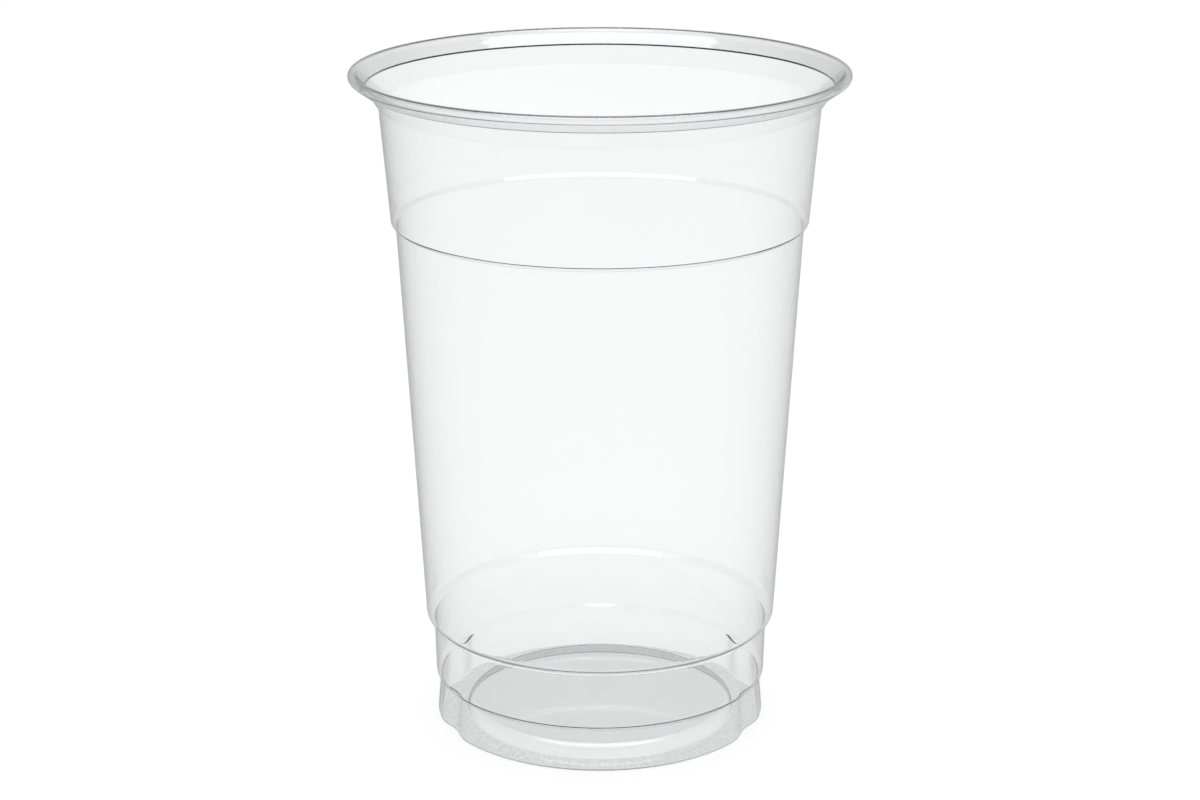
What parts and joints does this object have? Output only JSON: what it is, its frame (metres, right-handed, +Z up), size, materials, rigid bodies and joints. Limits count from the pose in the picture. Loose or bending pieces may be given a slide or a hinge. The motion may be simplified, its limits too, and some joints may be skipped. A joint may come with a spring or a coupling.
{
  "type": "plastic disposable cup",
  "caption": "Clear thermoformed cold-drink cup with a rolled rim, a shallow ledge near the top, a stepped foot with upright grooves and a raised bottom.",
  "frame": {"origin": "centre of the ring that the cup stands on, on the table", "axes": "+Z up along the cup's axis towards the rim; -Y is the front, with the foot's grooves 25 degrees either side of +X and of -X"},
  "size_m": [0.098, 0.098, 0.1339],
  "materials": {
    "clear_plastic": "clear thermoformed PET sheet, glossy inside and out"
  },
  "bodies": {
    "root": {"cup": "clear_plastic"}
  },
  "joints": []
}
